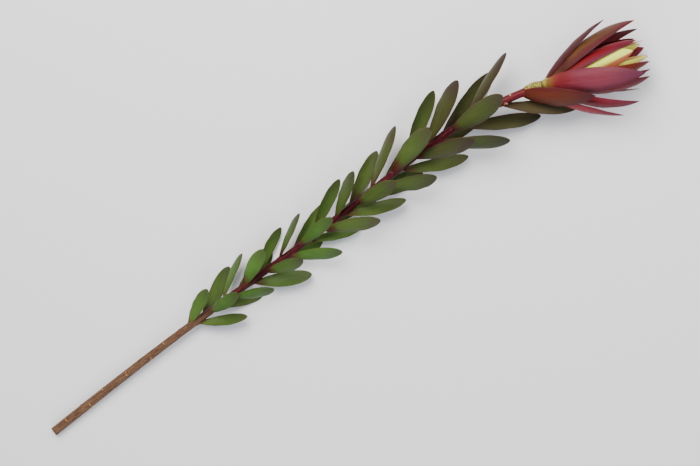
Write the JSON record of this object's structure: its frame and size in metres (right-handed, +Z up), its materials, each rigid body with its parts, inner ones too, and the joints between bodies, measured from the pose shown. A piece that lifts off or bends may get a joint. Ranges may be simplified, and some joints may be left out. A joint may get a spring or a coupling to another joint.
{
  "type": "leucadendron stem",
  "caption": "Cut woody stem with spiralled green leaves and a tulip-shaped head of wine-red bracts round a pale inner ring and a small cone, lying on a surface.",
  "frame": {"origin": "on the surface the stem lies on, under the middle of the object's box", "axes": "+X along the stem towards the flower head, +Z up from the surface, +Y to the stem's left"},
  "size_m": [0.5976, 0.1063, 0.0559],
  "materials": {
    "leaf_and_stem": "satin",
    "red_bract": "satin",
    "pale_bract": "satin",
    "cone_scale": "satin"
  },
  "bodies": {
    "root": {"leafy_stem": "leaf_and_stem", "red_bracts": "red_bract", "pale_bracts": "pale_bract", "flower_cone": "cone_scale"}
  },
  "joints": []
}
